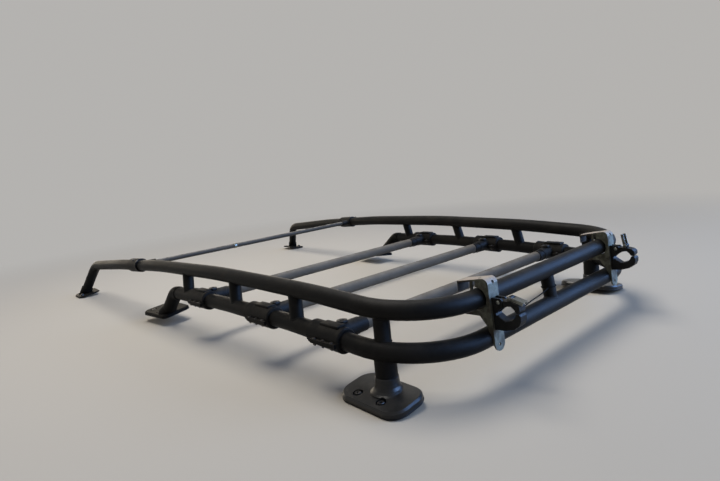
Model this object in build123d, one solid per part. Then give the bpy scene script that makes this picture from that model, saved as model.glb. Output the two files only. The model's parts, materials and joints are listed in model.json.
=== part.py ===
from build123d import *
import math
import os

# Tubular roof rack: an upper and a lower U-shaped rail on six feet, three clamped crossbars,
# a thin front bar and two hinged tool clamps on brackets at the rear.
# Millimetres. +X is the rack's left, +Y its rear, +Z up. The origin lies between the two rear
# feet, at the middle of their four bolts, on the seat plane.

# Rails
RAIL_D = 42.7
UPPER_PATH = [(472.5, 128.0, 183.6), (491.5, -230.0, 203.9), (514.5, -660.0, 212.0),
              (538.5, -1090.0, 203.9), (562.0, -1520.0, 179.5), (579.0, -1931.0, 145.0),
              (621.2, -2027.3, 22.0)]
UPPER_RADII = [174.5, 4000.0, 4000.0, 4000.0, 3000.0, 105.0]
LOWER_PATH = [(485.8, 141.0, 97.8), (506.5, -268.0, 119.0), (523.7, -588.0, 125.2), (543.1, -935.0, 121.5)]
LOWER_RADII = [187.5, 2400.0, 2400.0]

# Posts between the rails: name, y at the upper rail, y at the lower rail
POST_D = 35.0
SIDE_POSTS = [("a", -871.0, -861.0), ("b", -565.0, -550.0), ("c", -274.0, -260.0)]
CENTRE_POST_X = 18.0
CENTRE_POST_D = 32.0
LEG_FOOT = (475.5, 14.5)
LEG_HEAD = (465.2, 3.6)
LEG_D = 36.0
STUB_D = 48.0
STUB_LOW_Z = 48.0
STUB_HIGH_Z = 97.0

# Feet: each plate leans outwards by "tilt" degrees, as the rack's seat is crowned. An outline
# holds the plate's four corners about its seat centre before they are rounded.
REAR_PAD = {"x": 488.0, "y": 6.0, "z": 0.0, "corner": 38.0, "thick": 15.0, "tilt": 8.0,
            "outline": [(53.0, -92.0), (53.0, 92.0), (-53.0, 92.0), (-53.0, -92.0)]}
REAR_BOLTS = [(518.0, -36.0), (518.0, 36.0)]
BOLT_HOLE_R = 4.5
PLATE_BEVEL = 4.0
PLATE_BEVEL_SHARE = 0.45
RECESS_R = 11.5
RECESS_DEEP = 7.0
RECESS_ABOVE = 20.0
COLLAR_TOP_D = 51.0
COLLAR_FLARE = [(38.5, -1.0), (34.0, 2.2), (30.0, 6.5), (27.4, 12.5), (26.2, 20.0)]

MID_PAD = {"x": 538.0, "y": -1110.0, "z": 26.0, "corner": 22.0, "thick": 12.0, "tilt": 7.0,
           "outline": [(64.0, -96.0), (41.0, 82.0), (-64.0, 66.0), (-54.0, -86.0)]}
MID_BOLTS = [(568.0, -1174.0), (568.0, -1110.0)]
ARM_D = 46.5
ARM_FOOT_D = 64.0
ARM_FLARE = 40.0
ARM_BEND_R = 50.0
ARM_PATH = [(543.1, -935.0, 121.5), (545.3, -966.0, 120.0), (549.0, -1080.0, 30.0)]

FRONT_PAD = {"x": 622.0, "y": -2025.0, "z": 0.0, "corner": 26.0, "thick": 7.0, "tilt": 9.0,
             "outline": [(48.0, -60.0), (48.0, 60.0), (-48.0, 60.0), (-48.0, -60.0)]}
FRONT_BOLTS = [(650.0, -2051.0), (650.0, -1999.0)]
LEG_COLLAR_D = 50.0
LEG_COLLAR_LONG = 32.0

# Front bar
FRONT_BAR_D = 19.0
FRONT_BAR_Y = -1307.6
FRONT_BAR_Z = 191.6
FRONT_BAR_X = 550.9
FRONT_CLAMP = {"y": -1333.0, "ring": 54.0, "long": 92.0, "socket": 28.0, "reach": 62.0}

# Crossbars: name, y of the axis, run of the lower rail that it slides on
BAR_D = 33.7
CROSSBARS = [("front", -765.0, 2), ("middle", -410.0, 1), ("rear", -137.0, 0)]
SLIDE_GAP = 0.1
SHELL_D = 59.0
SHELL_LONG = 112.0
SHELL_SPLIT = 1.0
LIP_LONG = 84.0
LIP_WIDE = 71.0
LIP_THICK = 10.0
LIP_SHIFT = 10.0
SOCKET_ROOT_D = 48.0
SOCKET_D = 41.0
SOCKET_CONE = 62.0
SOCKET_REACH = 86.0
SOCKET_SLANT = -30.0
SLEEVE_D = 38.0
SLEEVE_REACH = 104.0
BAR_SHORT = 30.0
KNOB_IN = 38.0
KNOB_D = 29.0
KNOB_SEAT = 18.0
KNOB_HIGH = 9.0
KNOB_LOBES = 6
KNOB_NOTCH_R = 7.0
KNOB_NOTCH_OUT = 4.5

# Tool brackets: a channel of bent sheet over the upper rail, with a tab down behind the lower rail.
# The rear strip leans forward by the slope. Side outlines are (y, z) pairs.
BRACKET_X = 285.0
BRACKET_WIDE = 35.0
BRACKET_T = 4.0
TAB_FOOT = (169.0, 72.0)
TAB_HIGH_Z = 112.0
STRIP_LOW_Z = 92.0
STRIP_SLOPE = 0.07
CORNER_Z = 230.6
CORNER_R = 13.0
FLANGE_FRONT = (80.0, 217.0)
LIP_LOW_Z = 194.0
SLOT_LOW_Z = 162.0
SLOT_HIGH_Z = 201.6
WEB_LOW = [(84.0, 162.0), (84.0, 152.0), (91.0, 145.0), (134.0, 147.0), (150.0, 128.0), (158.0, 108.0)]
WEB_FRONT_Y = 127.0
WEB_BAR = (114.0, 119.0)
SADDLE_R = 25.0
BRACKET_HOLE_R = 3.5
TAB_HOLE_Z = 86.0
STRIP_HOLE_Z = 219.5
FLANGE_HOLE_Y = 132.0

# Tool clamps: a lower jaw with hinge ears on the strip, an upper jaw, and a channel-shaped lever
CLAMP_WIDE = 22.0
EAR_T = 5.0
EAR_GAP = 0.5
HINGE = (176.0, 180.0)
LOWER_JAW = [(150.0, 119.0), (190.0, 122.0), (211.0, 128.5), (222.5, 137.0), (227.0, 147.0),
             (227.0, 157.5), (223.5, 161.5), (218.0, 161.0), (215.0, 153.0), (206.0, 145.0),
             (190.0, 140.5), (171.0, 152.0), (168.0, 157.0), (150.0, 157.0)]
JAW_EARS = [(150.0, 155.0), (169.0, 155.0), (186.5, 171.5), (186.5, 183.5), (182.0, 188.5), (150.0, 188.5)]
UPPER_JAW = [(171.0, 175.0), (171.0, 181.0), (175.0, 186.0), (207.0, 184.0), (219.0, 181.5),
             (224.5, 176.5), (225.5, 168.5), (222.5, 163.8), (217.0, 163.2), (213.0, 170.0),
             (205.0, 176.0), (190.0, 173.5), (178.0, 163.5), (173.5, 166.0)]
HINGE_PIN_R = 3.0
KNUCKLE_R = 6.0
PIN_GAP = 0.1
LEVER_PIVOT = (200.5, 190.0)
LEVER_PIN_R = 2.5
LUG_R = 5.5
LUG_WIDE = 12.0
LUG_FOOT = 9.0
LEVER_UP = 11.6
LEVER_FOLDED = -104.0
LEVER_LONG = 32.0
LEVER_WIDE = 18.0
LEVER_FRONT = -4.5
LEVER_BACK = 2.5
LEVER_T = 1.8

# The cord from the left clamp's inner hinge ear to the rear centre post
CORD_D = 3.0
CORD_PATH = [(272.9, 184.0, 176.0), (258.0, 193.0, 163.0), (237.0, 197.0, 156.2), (190.0, 185.4, 155.2),
             (138.0, 170.4, 148.9), (86.0, 156.8, 144.2), (34.1, 141.9, 141.6)]
CORD_ARC_SHARE = 0.45


def vec(p):
    return Vector(*p)


def rounded_path(points, radii):
    """A wire of straight runs joined by tangent arcs; one radius for each inner corner."""
    points = [vec(p) for p in points]
    edges = []
    start = points[0]
    for corner, after, radius in zip(points[1:-1], points[2:], radii):
        into = (corner - start).normalized()
        out = (after - corner).normalized()
        turn = math.acos(max(-1.0, min(1.0, into.dot(out))))
        reach = radius * math.tan(turn / 2)
        first = corner - into * reach
        last = corner + out * reach
        bisector = (out - into).normalized()
        middle = corner + bisector * (radius / math.cos(turn / 2) - radius)
        edges.append(Edge.make_line(start, first))
        edges.append(Edge.make_three_point_arc(first, middle, last))
        start = last
    edges.append(Edge.make_line(start, points[-1]))
    return Wire(edges)


def tube(points, radii, diameter):
    """A round bar along a path of straight runs and tangent arcs."""
    path = rounded_path(points, radii)
    first = (vec(points[1]) - vec(points[0])).normalized()
    section = Plane(origin=vec(points[0]), z_dir=first) * Circle(diameter / 2)
    return sweep(section, path=path)


def rod(start, end, diameter, end_diameter=None):
    """A straight round bar between two points, or a cone where the end has its own diameter."""
    start, end = vec(start), vec(end)
    length = (end - start).length
    place = Plane(origin=start, z_dir=(end - start).normalized())
    base = (Align.CENTER, Align.CENTER, Align.MIN)
    if end_diameter is None:
        return place * Cylinder(diameter / 2, length, align=base)
    return place * Cone(diameter / 2, end_diameter / 2, length, align=base)


def mirrored(points):
    return [(-x, y, z) for x, y, z in points]


def hoop(side_points, radii, diameter):
    """A whole hoop rail: the left side, then the right side back again."""
    points = list(reversed(side_points)) + mirrored(side_points)
    return tube(points, list(reversed(radii)) + radii, diameter)


def at_y(path, y):
    """The point of a side path's runs at a given y."""
    for a, b in zip(path[:-1], path[1:]):
        if b[1] <= y <= a[1]:
            t = (y - a[1]) / (b[1] - a[1])
            return tuple(a[k] + t * (b[k] - a[k]) for k in range(3))
    raise ValueError(y)


def save(shape, name):
    export_step(shape, f"parts/{name}.step")


def both(shape, name):
    """Saves a left piece and its mirror image on the right."""
    save(shape, f"{name}_left")
    save(mirror(shape, about=Plane.YZ), f"{name}_right")


os.makedirs("parts", exist_ok=True)

upper_rail = hoop(UPPER_PATH, UPPER_RADII, RAIL_D)
lower_rail = hoop(LOWER_PATH, LOWER_RADII, RAIL_D)
save(upper_rail, "upper_rail")
save(lower_rail, "lower_rail")

# Side posts, cut to the rails' surfaces
for name, high_y, low_y in SIDE_POSTS:
    post = rod(at_y(LOWER_PATH, low_y), at_y(UPPER_PATH, high_y), POST_D) - upper_rail - lower_rail
    both(post, f"post_{name}")

# The post at the middle of the rear straights
low = (CENTRE_POST_X, LOWER_PATH[0][1], LOWER_PATH[0][2])
high = (CENTRE_POST_X, UPPER_PATH[0][1], UPPER_PATH[0][2])
save(rod(low, high, CENTRE_POST_D) - upper_rail - lower_rail, "post_rear_centre")

# Rear legs: a post between the rails' bends and a thicker stub below the lower rail
low = (*LEG_FOOT, at_y(LOWER_PATH, LEG_FOOT[1])[2])
high = (*LEG_HEAD, at_y(UPPER_PATH, LEG_HEAD[1])[2])
leg = rod(low, high, LEG_D) + rod((*LEG_FOOT, STUB_LOW_Z), (*LEG_FOOT, STUB_HIGH_Z), STUB_D)
both(leg - upper_rail - lower_rail, "rear_leg")


def lean(spec):
    """The place of a foot's plate: its seat centre, turned outwards about Y."""
    return Pos(spec["x"], spec["y"], spec["z"]) * Rot(0, spec["tilt"], 0)


def pad(spec):
    """A rounded plate with a bevelled top edge."""
    outline = make_face(Polyline(*spec["outline"], close=True))
    body = extrude(fillet(outline.vertices(), spec["corner"]), spec["thick"])
    top = body.faces().sort_by(Axis.Z)[-1]
    return lean(spec) * chamfer(top.edges(), min(PLATE_BEVEL, spec["thick"] * PLATE_BEVEL_SHARE))


def above_seat(shape, spec):
    """The part of a shape that lies above a foot's seat plane."""
    return shape & (lean(spec) * Pos(0, 0, 200) * Box(700, 700, 400))


def drill(body, spec, bolts, recess=True):
    """Upright bolt holes with a round recess for each head."""
    turn = math.radians(spec["tilt"])
    for x, y in bolts:
        low = spec["z"] - (x - spec["x"]) * math.tan(turn)
        high = low + spec["thick"] / math.cos(turn)
        body = body - rod((x, y, low - 10), (x, y, high + 10), 2 * BOLT_HOLE_R)
        if recess:
            body = body - rod((x, y, high - RECESS_DEEP), (x, y, high + RECESS_ABOVE), 2 * RECESS_R)
    return body


# Rear feet: a plate with a hollow flare that rises to the collar round the leg
thick = REAR_PAD["thick"]
flare = [(radius, thick + above) for radius, above in COLLAR_FLARE]
profile = Polyline((0, -6), (flare[0][0], -6), *flare, (COLLAR_TOP_D / 2, STUB_LOW_Z - 2),
                   (COLLAR_TOP_D / 2 - 2, STUB_LOW_Z), (0, STUB_LOW_Z), close=True)
collar = Pos(*LEG_FOOT, 0) * revolve(Plane.XZ * make_face(profile), Axis.Z)
foot = pad(REAR_PAD) + above_seat(collar, REAR_PAD)
both(drill(foot, REAR_PAD, REAR_BOLTS), "rear_foot")

# Middle feet: a plate and a bent arm with a flared root, up to the end of the lower rail
root = vec(ARM_PATH[2])
root_way = (vec(ARM_PATH[1]) - root).normalized()
arm = tube(ARM_PATH, [ARM_BEND_R], ARM_D)
arm += rod(tuple(root), tuple(root + root_way * ARM_FLARE), ARM_FOOT_D, ARM_D)
foot = pad(MID_PAD) + above_seat(arm, MID_PAD)
both(drill(foot, MID_PAD, MID_BOLTS) - lower_rail, "middle_foot")

# Front feet: a thin plate with a short collar round the leg's end
leg_way = (vec(UPPER_PATH[-2]) - vec(UPPER_PATH[-1])).normalized()
collar_top = vec(UPPER_PATH[-1]) + leg_way * 8
collar = rod(tuple(collar_top - leg_way * (LEG_COLLAR_LONG + 20)), tuple(collar_top), LEG_COLLAR_D)
foot = pad(FRONT_PAD) + above_seat(collar, FRONT_PAD)
both(drill(foot, FRONT_PAD, FRONT_BOLTS, recess=False) - upper_rail, "front_foot")

# Thin front bar and its two rail clamps
bar_half = FRONT_BAR_X - FRONT_CLAMP["reach"] + 30
front_bar = rod((-bar_half, FRONT_BAR_Y, FRONT_BAR_Z), (bar_half, FRONT_BAR_Y, FRONT_BAR_Z), FRONT_BAR_D)
save(front_bar, "front_bar")
clamp = rod(at_y(UPPER_PATH, FRONT_CLAMP["y"] + FRONT_CLAMP["long"] / 2),
            at_y(UPPER_PATH, FRONT_CLAMP["y"] - FRONT_CLAMP["long"] / 2), FRONT_CLAMP["ring"])
socket_end = (FRONT_BAR_X - FRONT_CLAMP["reach"], FRONT_BAR_Y, FRONT_BAR_Z)
clamp += rod((FRONT_BAR_X, FRONT_BAR_Y, FRONT_BAR_Z), socket_end, FRONT_CLAMP["socket"])
both(clamp - upper_rail - front_bar, "front_bar_clamp")


def inboard(seat, start, end, start_d, end_d=None):
    """A round or conical piece pointing inboard, between two distances from the left rail's axis."""
    return rod((seat.X - start, seat.Y, seat.Z), (seat.X - end, seat.Y, seat.Z), start_d, end_d)


def knob_at(seat):
    """A low lobed hand knob."""
    knob = Cylinder(KNOB_D / 2, KNOB_HIGH)
    for k in range(KNOB_LOBES):
        notch = Pos(KNOB_D / 2 + KNOB_NOTCH_OUT, 0, 0) * Cylinder(KNOB_NOTCH_R, KNOB_HIGH + 2)
        knob -= Rot(0, 0, 360 / KNOB_LOBES * k) * notch
    return Pos(seat.X - KNOB_IN, seat.Y, seat.Z + KNOB_SEAT + KNOB_HIGH / 2) * knob


# Crossbars with a split clamp at each end that slides along the lower rail
for name, y, run in CROSSBARS:
    seat = vec(at_y(LOWER_PATH, y))
    way = (vec(LOWER_PATH[run]) - vec(LOWER_PATH[run + 1])).normalized()
    bore = rod(tuple(seat + way * SHELL_LONG), tuple(seat - way * SHELL_LONG), RAIL_D + 2 * SLIDE_GAP)
    shell = rod(tuple(seat + way * (SHELL_LONG / 2)), tuple(seat - way * (SHELL_LONG / 2)), SHELL_D)
    shell = chamfer(shell.edges().filter_by(GeomType.CIRCLE), 3.0)
    across = Plane(origin=seat, x_dir=way, z_dir=(0, 0, 1))
    above = across * Pos(0, 0, 50 + SHELL_SPLIT / 2) * Box(2 * SHELL_LONG, 400, 100)
    below = across * Pos(0, 0, -50 - SHELL_SPLIT / 2) * Box(2 * SHELL_LONG, 400, 100)
    lips = across * Pos(LIP_SHIFT, 0, -1 - LIP_THICK / 2) * Box(LIP_LONG, LIP_WIDE, LIP_THICK)
    socket = inboard(seat, 0.0, SOCKET_CONE, SOCKET_ROOT_D, SOCKET_D)
    socket += inboard(seat, SOCKET_CONE, SOCKET_REACH + 20, SOCKET_D)
    slant = Rot(0, 0, SOCKET_SLANT) * Pos(-50, 0, 0) * Box(100, 200, 100)
    socket = socket - Pos(seat.X - SOCKET_REACH, seat.Y, seat.Z) * slant
    socket += inboard(seat, SOCKET_CONE, SLEEVE_REACH, SLEEVE_D)
    knob_x = seat.X - KNOB_IN
    knob_room = rod((knob_x, seat.Y, seat.Z + KNOB_SEAT), (knob_x, seat.Y, seat.Z + 80), KNOB_D + 1.0)
    bar_end = seat.X - BAR_SHORT
    bar_room = rod((bar_end + 3.0, seat.Y, seat.Z), (-bar_end - 3.0, seat.Y, seat.Z), BAR_D + 2 * SLIDE_GAP)
    upper = (shell & above) + socket - bore - knob_room - bar_room
    lower = (shell & below) + (lips & below) - bore - inboard(seat, 0.0, SLEEVE_REACH, SOCKET_ROOT_D + 1)
    both(Compound(children=[upper, lower]), f"crossbar_{name}_clamp")
    save(rod((bar_end, seat.Y, seat.Z), (-bar_end, seat.Y, seat.Z), BAR_D), f"crossbar_{name}")
    both(knob_at(seat), f"crossbar_{name}_knob")


def side_plate(points, low, high):
    """A plate with a side outline of (y, z) points, between two x values."""
    face = Plane.YZ * make_face(Polyline(*points, close=True))
    return Pos(low, 0, 0) * extrude(face, high - low, dir=(1, 0, 0))


def cross_pin(place, radius, length):
    """A round pin along X, centred on x = 0."""
    return Pos(0, *place) * Rot(0, 90, 0) * Cylinder(radius, length)


def strip_y(z):
    """The outer face of the bracket's rear strip at a height."""
    return TAB_FOOT[0] - STRIP_SLOPE * (z - TAB_FOOT[1])


def bend_edges(solid, y, z):
    """The edges along X that pass through a point of the side outline."""
    along = solid.edges().filter_by(Axis.X)
    return [e for e in along if abs(e.center().Y - y) < 0.1 and abs(e.center().Z - z) < 0.1]


def tool_bracket():
    """The bent channel about x = 0."""
    half = BRACKET_WIDE / 2
    t = BRACKET_T
    corner = (strip_y(CORNER_Z), CORNER_Z)
    foot = strip_y(STRIP_LOW_Z)
    outline = [(foot, STRIP_LOW_Z), corner, FLANGE_FRONT] + WEB_LOW
    outline += [(foot - t, STRIP_LOW_Z + 6), (foot - t, STRIP_LOW_Z)]
    body = side_plate(outline, -half, half)
    body = fillet(bend_edges(body, *corner), CORNER_R)
    inner = (corner[0] - t, CORNER_Z - t - 0.7)
    front = (FLANGE_FRONT[0] + 3.0, FLANGE_FRONT[1] - t + 0.5)
    under = side_plate([(strip_y(40.0) - t, 40.0), inner, front, (front[0], 40.0)], -half + t, half - t)
    under = fillet(bend_edges(under, *inner), CORNER_R - t)
    body = body - under
    rail_y, rail_z = UPPER_PATH[0][1], UPPER_PATH[0][2]
    body = body - cross_pin((rail_y, rail_z), SADDLE_R, 80)
    slot = Box(80, rail_y - front[0], SLOT_HIGH_Z - SLOT_LOW_Z)
    body = body - Pos(0, (front[0] + rail_y) / 2, (SLOT_LOW_Z + SLOT_HIGH_Z) / 2) * slot
    lip_gap = Box(80, 20, LIP_LOW_Z - SLOT_LOW_Z)
    body = body - Pos(0, FLANGE_FRONT[0], (LIP_LOW_Z + SLOT_LOW_Z) / 2) * lip_gap
    rise = (inner[1] - front[1]) / (inner[0] - front[0])
    window_top = front[1] + rise * (WEB_FRONT_Y - front[0])
    window = [front, (front[0], rail_z), (WEB_FRONT_Y, rail_z), (WEB_FRONT_Y, window_top)]
    body = body - side_plate(window, -80, 80)
    a, b = WEB_BAR
    bar = [(a, rail_z), (b, rail_z), (b, window_top + 2), (a, window_top + 1)]
    for low in (-half, half - t):
        body = body + side_plate(bar, low, low + t)
    tab_top = strip_y(TAB_HIGH_Z)
    sheet = side_plate([TAB_FOOT, (tab_top, TAB_HIGH_Z), (tab_top - t, TAB_HIGH_Z),
                        (TAB_FOOT[0] - t, TAB_FOOT[1])], -half, half)
    round_z = TAB_FOOT[1] + half
    tab = Pos(0, round_z) * Circle(half) + Pos(0, round_z + 20) * Rectangle(BRACKET_WIDE, 40)
    tab = extrude(Plane.XZ.offset(-200.0) * tab, 100, dir=(0, -1, 0))
    body = body + (tab & sheet)
    for x, z in ((0, TAB_HOLE_Z), (-2, STRIP_HOLE_Z)):
        body = body - Pos(x, 160, z) * Rot(90, 0, 0) * Cylinder(BRACKET_HOLE_R, 50)
    return body - Pos(6, FLANGE_HOLE_Y, CORNER_Z) * Cylinder(BRACKET_HOLE_R, 30)


def lower_jaw():
    """The fixed jaw with its two hinge ears, cut to the strip's face."""
    half = CLAMP_WIDE / 2
    body = side_plate(LOWER_JAW, -half, half)
    for low in (-half, half - EAR_T):
        body = body + side_plate(JAW_EARS, low, low + EAR_T)
    body = body - cross_pin(HINGE, HINGE_PIN_R + PIN_GAP, 60)
    behind = [(60.0, 60.0), (strip_y(60.0), 60.0), (strip_y(240.0), 240.0), (60.0, 240.0)]
    return body - side_plate(behind, -50, 50)


def upper_jaw():
    """The hinged jaw with its pin, and the lug and pin of the lever on top."""
    half = CLAMP_WIDE / 2
    cut = EAR_T + EAR_GAP
    body = side_plate(UPPER_JAW, -half, half)
    for x in (-half + cut / 2, half - cut / 2):
        body = body - Pos(x, HINGE[0], HINGE[1] - 5) * Box(cut + 0.02, 24.0, 40.0)
    body = body + cross_pin(HINGE, KNUCKLE_R, CLAMP_WIDE - 2 * cut)
    body = body + cross_pin(HINGE, HINGE_PIN_R, CLAMP_WIDE)
    lug = Pos(*LEVER_PIVOT) * Circle(LUG_R)
    lug += Pos(LEVER_PIVOT[0], LEVER_PIVOT[1] - LUG_FOOT / 2) * Rectangle(2 * LUG_R, LUG_FOOT)
    body = body + Pos(-LUG_WIDE / 2, 0, 0) * extrude(Plane.YZ * lug, LUG_WIDE, dir=(1, 0, 0))
    return body + cross_pin(LEVER_PIVOT, LEVER_PIN_R, LEVER_WIDE + 1.0)


def lever(turn):
    """A channel-shaped lever on its pin, turned by degrees from upright towards the front."""
    half = LEVER_WIDE / 2
    middle = (LEVER_FRONT + LEVER_BACK) / 2
    cheek = Circle(LUG_R - 0.9)
    cheek += Pos(middle, LEVER_LONG / 2) * Rectangle(LEVER_BACK - LEVER_FRONT, LEVER_LONG)
    cheek = cheek - Circle(LEVER_PIN_R + PIN_GAP)
    plate_low = LUG_R + 2.5
    plate = Rectangle(LEVER_T, LEVER_LONG - plate_low)
    plate = Pos(LEVER_FRONT + LEVER_T / 2, (plate_low + LEVER_LONG) / 2) * plate
    body = Pos(-half, 0, 0) * extrude(Plane.YZ * plate, LEVER_WIDE, dir=(1, 0, 0))
    for low in (-half, half - LEVER_T):
        body = body + Pos(low, 0, 0) * extrude(Plane.YZ * cheek, LEVER_T, dir=(1, 0, 0))
    return Pos(0, *LEVER_PIVOT) * Rot(turn, 0, 0) * body


for side, x, turn in (("left", BRACKET_X, LEVER_FOLDED), ("right", -BRACKET_X, LEVER_UP)):
    save(Pos(x, 0, 0) * tool_bracket() - upper_rail - lower_rail, f"tool_bracket_{side}")
    save(Pos(x, 0, 0) * lower_jaw(), f"lower_jaw_{side}")
    save(Pos(x, 0, 0) * upper_jaw(), f"upper_jaw_{side}")
    save(Pos(x, 0, 0) * lever(turn), f"clamp_lever_{side}")


def cord_radii(points):
    """The largest arcs that a free cord's runs leave room for."""
    radii = []
    for a, b, c in zip(points, points[1:], points[2:]):
        into, out = vec(b) - vec(a), vec(c) - vec(b)
        half_turn = math.radians(into.get_angle(out)) / 2
        radii.append(CORD_ARC_SHARE * min(into.length, out.length) / math.tan(half_turn))
    return radii


radii = cord_radii(CORD_PATH)
print("cord radii", [round(r, 1) for r in radii])
save(tube(CORD_PATH, radii, CORD_D), "lanyard")
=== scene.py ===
import json
import math
import bmesh
import bpy
from mathutils import Matrix, Vector


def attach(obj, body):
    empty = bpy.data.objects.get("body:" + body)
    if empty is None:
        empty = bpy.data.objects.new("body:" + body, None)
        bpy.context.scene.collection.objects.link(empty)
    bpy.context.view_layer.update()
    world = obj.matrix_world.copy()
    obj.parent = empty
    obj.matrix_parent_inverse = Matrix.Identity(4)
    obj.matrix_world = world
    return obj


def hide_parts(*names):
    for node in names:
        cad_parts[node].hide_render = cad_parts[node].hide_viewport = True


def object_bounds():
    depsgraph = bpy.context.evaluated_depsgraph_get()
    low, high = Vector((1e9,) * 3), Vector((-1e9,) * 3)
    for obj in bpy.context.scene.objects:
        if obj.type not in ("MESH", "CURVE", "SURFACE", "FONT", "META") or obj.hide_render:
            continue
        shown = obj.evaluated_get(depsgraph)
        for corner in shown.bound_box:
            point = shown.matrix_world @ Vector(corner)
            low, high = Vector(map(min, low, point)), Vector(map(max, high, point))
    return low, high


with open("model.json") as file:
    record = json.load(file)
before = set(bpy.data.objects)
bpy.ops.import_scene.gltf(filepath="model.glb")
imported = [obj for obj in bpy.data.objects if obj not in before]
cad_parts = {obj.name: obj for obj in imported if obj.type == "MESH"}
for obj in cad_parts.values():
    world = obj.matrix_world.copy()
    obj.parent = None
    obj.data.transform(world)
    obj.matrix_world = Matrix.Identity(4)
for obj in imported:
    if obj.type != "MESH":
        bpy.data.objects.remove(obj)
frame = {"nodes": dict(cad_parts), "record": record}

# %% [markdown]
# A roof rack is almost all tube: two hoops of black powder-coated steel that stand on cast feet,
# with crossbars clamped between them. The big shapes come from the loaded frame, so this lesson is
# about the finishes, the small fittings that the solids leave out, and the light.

MM = 0.001
NODES = frame["nodes"]
CAD_BOX = [list(corner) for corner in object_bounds()]
SIDES = (("left", 1), ("right", -1))
print("frame", len(NODES), "nodes, box", CAD_BOX)

# %% [markdown]
# The camera stands behind the rack's left rear corner, a little above the rails, with a wide lens that
# is tilted and rolled by a few degrees. Its place and turn are three numbers each.

# %% Camera
CAMERA_PLACE = (1.1261, 0.7519, 0.4882)
CAMERA_TURN = (81.2825, 6.3243, 139.0379)
LENS = 24.688
SENSOR = 36.0

eye = bpy.data.cameras.new("camera")
eye.lens = LENS
eye.sensor_width = SENSOR
camera = bpy.data.objects.new("camera", eye)
camera.location = CAMERA_PLACE
camera.rotation_euler = [math.radians(a) for a in CAMERA_TURN]
bpy.context.scene.collection.objects.link(camera)
bpy.context.scene.camera = camera
bpy.context.scene.view_settings.view_transform = "Standard"
print("camera", CAMERA_PLACE, "lens", LENS)

# %% [markdown]
# One thin cord hangs between the left tool clamp's hinge and the rear centre post. A cord never
# bends at a corner, so its route is one NURBS curve whose control points follow the sag. Its three
# strands are then laid round that line as thin tubes, which is how a real cord is made.

# %% Cord
CORD_D = 0.003
CORD_ROUTE = [(0.2729, 0.1840, 0.1760), (0.2580, 0.1930, 0.1630), (0.2370, 0.1970, 0.1562),
              (0.1900, 0.1854, 0.1552), (0.1380, 0.1704, 0.1489), (0.0860, 0.1568, 0.1442),
              (0.0341, 0.1419, 0.1416)]
ROUTE_STEPS = 64
STRANDS = 3
STRAND_R = 0.00086
STRAND_SIDES = 6
LAY_PITCH = 0.010


def tube_along(form, points, radius, sides):
    """Adds a closed round tube along a list of points to a bmesh."""
    rings = []
    for before, here, after in zip([points[0]] + points[:-1], points, points[1:] + [points[-1]]):
        ahead = (after - before).normalized()
        side = ahead.cross(Vector((0, 0, 1))).normalized()
        over = side.cross(ahead)
        rings.append([form.verts.new(here + radius * (math.cos(a) * side + math.sin(a) * over))
                      for a in (math.tau * k / sides for k in range(sides))])
    for low, high in zip(rings, rings[1:]):
        for k in range(sides):
            form.faces.new((low[k], low[(k + 1) % sides], high[(k + 1) % sides], high[k]))
    form.faces.new(rings[0][::-1])
    form.faces.new(rings[-1])


route = bpy.data.curves.new("lanyard_route", "CURVE")
route.dimensions = "3D"
route_spline = route.splines.new("NURBS")
route_spline.points.add(len(CORD_ROUTE) - 1)
for knot, place in zip(route_spline.points, CORD_ROUTE):
    knot.co = (*place, 1)
route_spline.order_u = 3
route_spline.use_endpoint_u = True
route_spline.resolution_u = ROUTE_STEPS
route_object = bpy.data.objects.new("lanyard_route", route)
CORD_LINE = [v.co.copy() for v in bpy.data.meshes.new_from_object(route_object).vertices]
bpy.data.objects.remove(route_object)

strands = bmesh.new()
for k in range(STRANDS):
    gone = 0.0
    laid = []
    for before, here in zip(CORD_LINE[:1] + CORD_LINE, CORD_LINE):
        gone += (here - before).length
        turn = math.tau * (gone / LAY_PITCH + k / STRANDS)
        laid.append(here + (CORD_D / 2 - STRAND_R) * Vector((0, math.cos(turn), math.sin(turn))))
    tube_along(strands, laid, STRAND_R, STRAND_SIDES)
bmesh.ops.recalc_face_normals(strands, faces=strands.faces)
cord_mesh = bpy.data.meshes.new("lanyard_cord")
strands.to_mesh(cord_mesh)
strands.free()
cord_mesh.shade_smooth()
lanyard_cord = bpy.data.objects.new("lanyard_cord", cord_mesh)
bpy.context.scene.collection.objects.link(lanyard_cord)
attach(lanyard_cord, "rack")
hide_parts("lanyard")
print("cord line of", len(CORD_LINE), "points")

# %% [markdown]
# The finishes share a few effects: a coat that fades in patches and gathers dust on what faces up, a
# fine grain, worn edges and brushed or spangled zinc. Each effect is a node group made once, so that
# every finish can place it with its own values. These helpers keep the trees short to write.

# %% Helpers for node trees
COLOUR = "NodeSocketColor"
NUMBER = "NodeSocketFloat"
MIX_FIRST = 6
MIX_SECOND = 7


def feed(tree, socket, value):
    """Wires another socket in, or sets a plain value."""
    if isinstance(value, bpy.types.NodeSocket):
        tree.links.new(value, socket)
    else:
        socket.default_value = value


def calc(tree, operation, *values):
    """One math step on numbers or sockets."""
    node = tree.nodes.new("ShaderNodeMath")
    node.operation = operation
    for socket, value in zip(node.inputs, values):
        feed(tree, socket, value)
    return node.outputs[0]


def between(tree, value, low, high):
    """0 under low, 1 over high, and a smooth rise between them."""
    node = tree.nodes.new("ShaderNodeMapRange")
    node.interpolation_type = "SMOOTHSTEP"
    feed(tree, node.inputs["Value"], value)
    node.inputs["From Min"].default_value = low
    node.inputs["From Max"].default_value = high
    return node.outputs["Result"]


def mixed(tree, factor, first, second):
    """Two colours mixed by a factor."""
    node = tree.nodes.new("ShaderNodeMix")
    node.data_type = "RGBA"
    feed(tree, node.inputs[0], factor)
    feed(tree, node.inputs[MIX_FIRST], first)
    feed(tree, node.inputs[MIX_SECOND], second)
    return node.outputs[2]


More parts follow.
